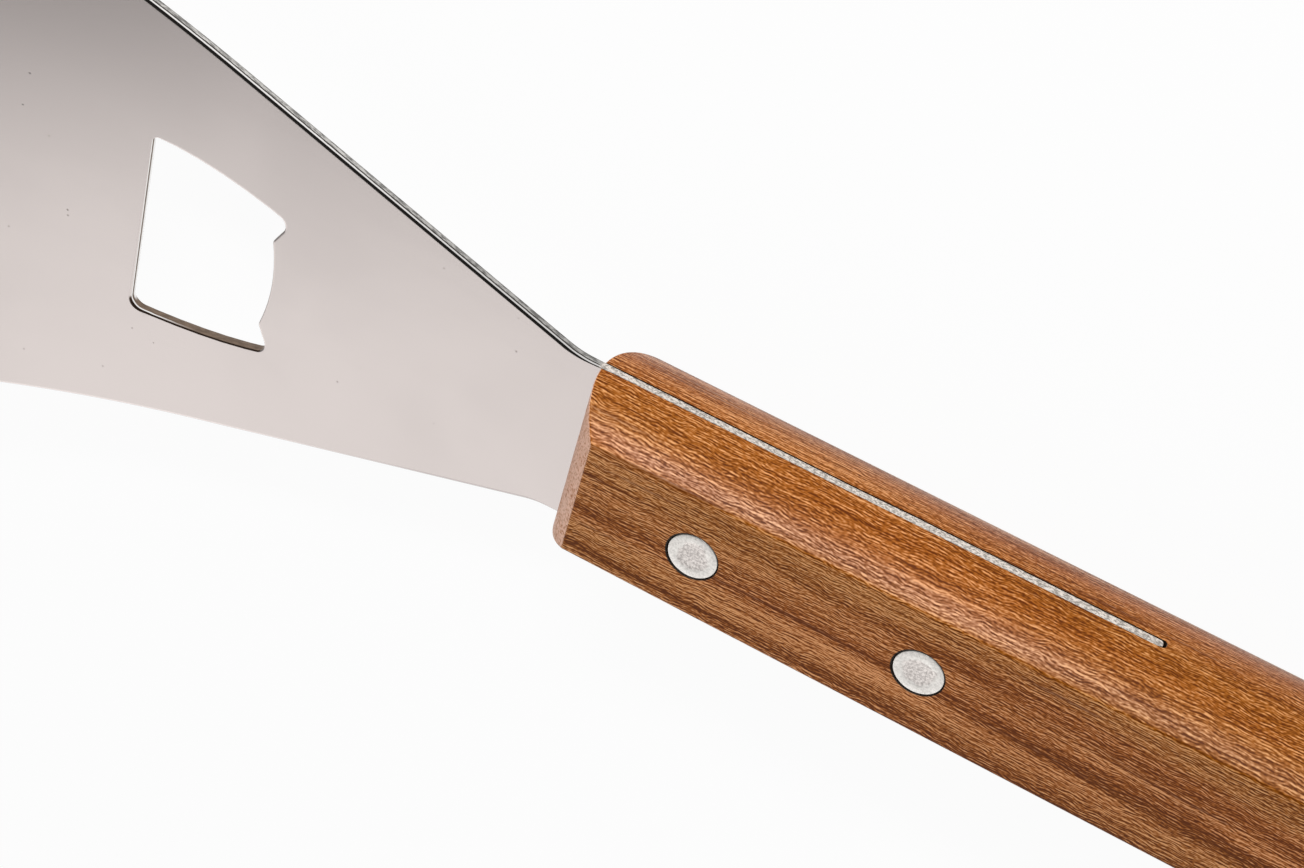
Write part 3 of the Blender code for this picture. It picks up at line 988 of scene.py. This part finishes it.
# The handle
def handle_section(x, settings):
    """Section across the handle, as (y, z) points: crowned edge, flat, crowned edge, flat."""
    crease_steps, flat_steps = 6, 16
    half_width = handle_half_width(x)
    radius = (EDGE_CROWN ** 2 + half_thickness ** 2) / (2 * EDGE_CROWN)
    eased = math.asin(half_thickness / radius) - settings.crease_round / radius
    crown = arc(Vector((half_width - radius, 0.0)), radius, -eased, eased)
    corner = Vector((half_width - EDGE_CROWN, half_thickness))
    end = corner - Vector((settings.crease_round, 0.0))
    crease = []
    for step in range(1, crease_steps + 1):
        share = step / crease_steps
        crease.append(crown[-1] * (1 - share) ** 2 + corner * 2 * share * (1 - share) + end * share ** 2)
    lower_crease = [Vector((point.x, -point.y)) for point in reversed(crease)]
    flat = [Vector((end.x * (1 - 2 * step / flat_steps), half_thickness)) for step in range(1, flat_steps)]
    half = lower_crease + crown + crease + flat
    return half + [-point for point in half]


def soft_max(first, second, blend):
    share = clamp(0.5 + 0.5 * (first - second) / blend)
    return second * (1 - share) + first * share + blend * share * (1 - share)


def set_back(radius, offset):
    """How far a round end of the given radius falls back, that far from its middle."""
    return radius - math.sqrt(max(0.0, radius ** 2 - offset ** 2))


def front_end(point):
    """How far behind the front end the rounded end face lies, at a (y, z) point of the section."""
    return set_back(12.0 * mm, point.y)


def rear_end(point):
    seen_from_above = set_back(14.0 * mm, point.x)
    return HANDLE_LENGTH - soft_max(front_end(point), seen_from_above, 1.2 * mm)


def cap_rows(ring, end, shares):
    """Rows of places on an end face, along the section's outline drawn in to each share of its size."""
    return [[(end(point * share), *(point * share)) for point in ring] for share in shares]


def handle_stick(settings):
    """Closed handle with both ends rounded, before its kerf and holes are cut."""
    cap_shares = (0.88, 0.72, 0.54, 0.36, 0.18)
    side_shares = (0.0, 0.03, 0.07, 0.3, 0.5, 0.7, 0.9, 0.95, 0.98, 1.0)
    front_ring = handle_section(0.0, settings)
    rear_ring = handle_section(HANDLE_LENGTH, settings)
    sides = []
    for share in side_shares:
        row = []
        for index, (front, rear) in enumerate(zip(front_ring, rear_ring)):
            start = front_end(front)
            x = start + (rear_end(rear) - start) * share
            row.append((x, *handle_section(x, settings)[index]))
        sides.append(row)
    front_cap = cap_rows(front_ring, front_end, reversed(cap_shares))
    rear_cap = cap_rows(rear_ring, rear_end, cap_shares)

    bm = bmesh.new()
    grid = [[bm.verts.new(place) for place in row] for row in front_cap + sides + rear_cap]
    bridge_rows(bm, grid)
    middle = Vector((0.0, 0.0))
    for row, end in ((grid[0], front_end), (grid[-1], rear_end)):
        tip = bm.verts.new((end(middle), *middle))
        for index in range(len(row)):
            bm.faces.new((row[index - 1], row[index], tip))
    bmesh.ops.recalc_face_normals(bm, faces=bm.faces)
    rims = row_edges(bm, grid[len(front_cap)]) + row_edges(bm, grid[-len(rear_cap) - 1])
    bmesh.ops.bevel(bm, geom=rims, offset=settings.end_break, segments=4, profile=0.5, affect="EDGES")
    bmesh.ops.translate(bm, verts=bm.verts, vec=(front_x, 0.0, middle_z))
    return bm


def rivet_hole_cutter(rivets, x):
    """Straight bore whose flared ends run out past both flat faces."""
    ring_gap = 0.12 * mm
    bore = SHANK_RADIUS + CLEARANCE
    rim = rivets.head / 2 + ring_gap
    past_rim = rim + (rim - bore)
    top = half_thickness + RIVET_FLARE
    neck = half_thickness - RIVET_FLARE
    half = [(0.0, top), (past_rim, top), (bore, neck)]
    return turned(mirrored_profile(half), (front_x + x, 0.0, middle_z))


def hang_hole_cutter():
    """Bore with rounded rims that run out past both flat faces."""
    from_end = 16.0 * mm
    bore = 4.0 * mm
    rim = 0.8 * mm
    rim_steps = 8
    half = [(0.0, half_thickness + rim), (bore + rim, half_thickness + rim)]
    for step in range(rim_steps, -1, -1):
        angle = math.pi / 2 * step / rim_steps
        half.append((bore + rim * (1 - math.cos(angle)), half_thickness - rim + rim * math.sin(angle)))
    return turned(mirrored_profile(half), (front_x + HANDLE_LENGTH - from_end, 0.0, middle_z))


def kerf_cutter(blade):
    """Saw kerf with a rounded end for the tang, which lies against its upper wall."""
    overrun = 12.0 * mm
    gap_above, gap_below, gap_behind = 0.02 * mm, 0.15 * mm, 0.40 * mm
    top = TANG_TOP + gap_above
    mouth = blade.sheet / 2 + gap_above
    full_sheet_end = -NECK_LENGTH + NECK_ROUND * math.tan(blade.flare_angle / 2)
    upper = [Vector((-overrun, mouth)), Vector((full_sheet_end, mouth)), Vector((TANG_LEAD, top))]
    lower = [Vector((x, -tang_bottom(x) - gap_below)) for x in (SWELL_END, SWELL_START, -overrun)]
    radius = (top - lower[0].y) / 2
    centre = Vector((TANG_LENGTH + gap_behind - radius, top - radius))
    side = [*upper, *arc(centre, radius, math.pi / 2, -math.pi / 2), *lower]
    bm = bmesh.new()
    verts = [bm.verts.new((front_x + point.x, -HANDLE_REAR_WIDTH, middle_z + point.y)) for point in side]
    grown = bmesh.ops.extrude_face_region(bm, geom=[bm.faces.new(verts)])
    far = [item for item in grown["geom"] if isinstance(item, bmesh.types.BMVert)]
    bmesh.ops.translate(bm, verts=far, vec=(0.0, 2 * HANDLE_REAR_WIDTH, 0.0))
    return bm


def cut_away(thing, cutters):
    """Cut solids out of an object, then remove the cutters."""
    for cutter in cutters:
        modifier = thing.modifiers.new(cutter.name, "BOOLEAN")
        modifier.operation = "DIFFERENCE"
        modifier.solver = "EXACT"
        modifier.object = cutter
    bake_modifiers(thing)
    for cutter in cutters:
        bpy.data.objects.remove(cutter, do_unlink=True)


class SPATULA_OT_handle(bpy.types.Operator):
    """Make the wooden handle with its kerf, rivet holes and hanging hole"""

    bl_idname = "spatula.handle"
    bl_label = "Handle"

    def execute(self, context):
        settings = context.scene.spatula_handle
        rivets = context.scene.spatula_rivets
        handle = mesh_object("wooden_handle", handle_stick(settings))
        kerf = mesh_object("kerf", kerf_cutter(context.scene.spatula_blade))
        cutters = [kerf, mesh_object("hang_hole", hang_hole_cutter())]
        for x in rivet_places(rivets):
            cutters.append(mesh_object("rivet_hole", rivet_hole_cutter(rivets, x)))
        cut_away(handle, cutters)
        handle.data.materials.clear()
        handle.data.materials.append(wood_material(settings, rivets, shared_groups()))
        shade(handle, sharp_angle=30.0)
        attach(handle, "root")
        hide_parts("handle")
        return {"FINISHED"}


# The rivets
def rivet_profile(settings):
    """Flush rivet with an eased rim and a shallow dish inside a plain ring on each head."""
    setting = 0.05 * mm
    ease = 0.12 * mm
    ease_steps = 4
    dish = 0.03 * mm
    head = settings.head / 2
    top = half_thickness - setting
    half = [(0.0, top - dish), (1.1 * mm, top - dish), (1.75 * mm, top - dish)]
    half += [(1.95 * mm, top - dish * 0.3), (2.15 * mm, top)]
    for step in range(ease_steps + 1):
        angle = math.pi / 2 * step / ease_steps
        half.append((head - ease * (1 - math.sin(angle)), top - ease * (1 - math.cos(angle))))
    half.append((SHANK_RADIUS, top - RIVET_FLARE))
    return mirrored_profile(half)


def rivet_tree(settings, material):
    """Geometry nodes that set one rivet at each place of a row."""
    first = (front_x + settings.from_front, 0.0, middle_z)
    tree, given, wanted = new_geometry_tree("rivet_row", [
        ("Count", "NodeSocketInt", len(rivet_places(settings))), ("First", "NodeSocketVector", first),
        ("Step", "NodeSocketVector", (settings.spacing, 0.0, 0.0))])
    row = add_node(tree, "GeometryNodeMeshLine", {
        "Count": given["Count"], "Start Location": given["First"], "Offset": given["Step"]})
    placed = add_node(tree, "GeometryNodeInstanceOnPoints", {
        "Points": row.outputs[0], "Instance": given["Geometry"]})
    finish_tree(tree, placed.outputs[0], material)
    return tree, wanted


class SPATULA_OT_rivets(bpy.types.Operator):
    """Make the two flush rivets that hold the tang"""

    bl_idname = "spatula.rivets"
    bl_label = "Rivets"

    def execute(self, context):
        settings = context.scene.spatula_rivets
        bm = turned(rivet_profile(settings), (0.0, 0.0, 0.0))
        from_axis = bm.verts.layers.float.new("from_axis")
        for vert in bm.verts:
            vert[from_axis] = math.hypot(vert.co.x, vert.co.y)
        rivets = mesh_object("flush_rivets", bm)
        tree, wanted = rivet_tree(settings, aluminium_material(settings, shared_groups()))
        run_tree(rivets, tree, wanted)
        shade(rivets, sharp_angle=40.0)
        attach(rivets, "root")
        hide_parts("rivet_front", "rivet_rear")
        return {"FINISHED"}


# The studio
def floor_material(settings):
    """Pale floor that the camera and polished metal see as white, with a faint shadow left on it."""
    white_share = 0.95
    material = bpy.data.materials.new("studio_floor")
    material.use_nodes = True
    tree = material.node_tree
    tree.nodes.clear()
    matt = add_node(tree, "ShaderNodeBsdfDiffuse", {"Color": (*settings.floor, 1.0)})
    white = add_node(tree, "ShaderNodeEmission", {"Color": (1.0, 1.0, 1.0, 1.0), "Strength": 1.0})
    path = add_node(tree, "ShaderNodeLightPath").outputs
    seen = largest(tree, path["Is Camera Ray"], path["Is Glossy Ray"], path["Is Transmission Ray"])
    floor = add_node(tree, "ShaderNodeMixShader", {"Fac": product(tree, seen, white_share)})
    tree.links.new(matt.outputs[0], floor.inputs[1])
    tree.links.new(white.outputs[0], floor.inputs[2])
    clear = add_node(tree, "ShaderNodeBsdfTransparent")
    from_below = add_node(tree, "ShaderNodeNewGeometry").outputs["Backfacing"]
    shown = add_node(tree, "ShaderNodeMixShader", {"Fac": from_below})
    tree.links.new(floor.outputs[0], shown.inputs[1])
    tree.links.new(clear.outputs[0], shown.inputs[2])
    output = add_node(tree, "ShaderNodeOutputMaterial")
    tree.links.new(shown.outputs[0], output.inputs["Surface"])
    return material


def make_floor(settings):
    half_size = 6.0
    gap_below = 0.1 * mm
    bm = bmesh.new()
    bmesh.ops.create_grid(bm, x_segments=8, y_segments=8, size=half_size)
    bmesh.ops.translate(bm, verts=bm.verts, vec=(0.0, 0.0, -gap_below))
    floor = mesh_object("floor", bm)
    if floor.data.polygons[0].normal.z < 0.0:
        floor.data.flip_normals()
    floor.data.materials.append(floor_material(settings))


def make_world(settings):
    """White room for the camera. It fades towards a dim ceiling, and more so as the metal mirrors it."""
    ceiling_share = 0.3
    mirrored_horizon, mirrored_ceiling = 0.90, 0.236
    world = bpy.data.worlds.new("studio")
    world.use_nodes = True
    tree = world.node_tree
    tree.nodes.clear()
    up = split(tree, add_node(tree, "ShaderNodeTexCoord").outputs["Generated"])[2]
    room = between(tree, up, 0.0, 0.9, settings.room_light, settings.room_light * ceiling_share)
    mirrored = between(tree, up, 0.05, 0.45, mirrored_horizon, mirrored_ceiling)
    path = add_node(tree, "ShaderNodeLightPath").outputs
    level = blend_values(tree, path["Is Glossy Ray"], room, mirrored)
    seen = largest(tree, path["Is Camera Ray"], path["Is Transmission Ray"])
    strength = blend_values(tree, seen, level, 1.0)
    glow = add_node(tree, "ShaderNodeBackground", {"Color": (1.0, 1.0, 1.0, 1.0), "Strength": strength})
    output = add_node(tree, "ShaderNodeOutputWorld")
    tree.links.new(glow.outputs[0], output.inputs["Surface"])
    bpy.context.scene.world = world


def aim(thing, place, target, roll):
    """Put a lamp or camera in its place, facing the target and turned about that line by some degrees."""
    thing.location = place
    facing = Vector(target) - Vector(place)
    turn = facing.to_track_quat("-Z", "Y") @ Quaternion((0.0, 0.0, 1.0), math.radians(roll))
    thing.rotation_euler = turn.to_euler()
    bpy.context.scene.collection.objects.link(thing)


def soft_box(name, width, height, power):
    lamp = bpy.data.lights.new(name, "AREA")
    lamp.shape = "RECTANGLE"
    lamp.size = width
    lamp.size_y = height
    lamp.energy = power
    thing = bpy.data.objects.new(name, lamp)
    thing.visible_camera = False
    return thing


def make_camera():
    """Long lens close above the handle's front end, rolled so that the tool runs down to the right."""
    lens = bpy.data.cameras.new("camera")
    lens.sensor_width = 36.0
    lens.lens = 85.0
    lens.clip_start = 10 * mm
    camera = bpy.data.objects.new("camera", lens)
    place = (front_x + 68.286 * mm, 238.011 * mm, 248.914 * mm)
    target = (front_x + 7.560 * mm, 5.640 * mm, middle_z)
    aim(camera, place, target, roll=-142.633)
    bpy.context.scene.camera = camera


class SPATULA_OT_studio(bpy.types.Operator):
    """Make the floor, the lights, the room and the camera"""

    bl_idname = "spatula.studio"
    bl_label = "Studio"

    def execute(self, context):
        settings = context.scene.spatula_studio
        context.scene.view_settings.view_transform = "Standard"
        make_floor(settings)
        make_world(settings)
        key = soft_box("key_light", width=0.22, height=0.045, power=settings.key_light)
        aim(key, place=(-0.025, 0.372, 0.205), target=(0.03, 0.0, 0.01), roll=0.0)
        back = soft_box("back_light", width=1.76, height=0.80, power=settings.back_light)
        aim(back, place=(-0.01, -0.866, 0.58), target=(0.126, 0.0, 0.22), roll=18.0)
        make_camera()
        return {"FINISHED"}


class SPATULA_PT_panel(bpy.types.Panel):
    """Sidebar panel with the settings and the steps of the build."""

    bl_idname = "SPATULA_PT_panel"
    bl_label = "Barbecue spatula"
    bl_space_type = "VIEW_3D"
    bl_region_type = "UI"
    bl_category = "Spatula"

    def draw(self, context):
        for step, settings in steps:
            box = self.layout.box()
            group = getattr(context.scene, settings)
            for name in group.__annotations__:
                box.prop(group, name)
            box.operator(step.bl_idname)


steps = (
    (SPATULA_OT_studio, "spatula_studio"),
    (SPATULA_OT_blade, "spatula_blade"),
    (SPATULA_OT_handle, "spatula_handle"),
    (SPATULA_OT_rivets, "spatula_rivets"),
)
settings_groups = {
    "spatula_blade": BladeSettings,
    "spatula_handle": HandleSettings,
    "spatula_rivets": RivetSettings,
    "spatula_studio": StudioSettings,
}


def register():
    for name, group in settings_groups.items():
        bpy.utils.register_class(group)
        setattr(bpy.types.Scene, name, PointerProperty(type=group))
    for step, _ in steps:
        bpy.utils.register_class(step)
    bpy.utils.register_class(SPATULA_PT_panel)


def unregister():
    bpy.utils.unregister_class(SPATULA_PT_panel)
    for step, _ in reversed(steps):
        bpy.utils.unregister_class(step)
    for name, group in settings_groups.items():
        delattr(bpy.types.Scene, name)
        bpy.utils.unregister_class(group)


def main():
    register()
    bpy.ops.spatula.studio()
    bpy.ops.spatula.blade()
    bpy.ops.spatula.handle()
    bpy.ops.spatula.rivets()


if __name__ == "__main__":
    main()
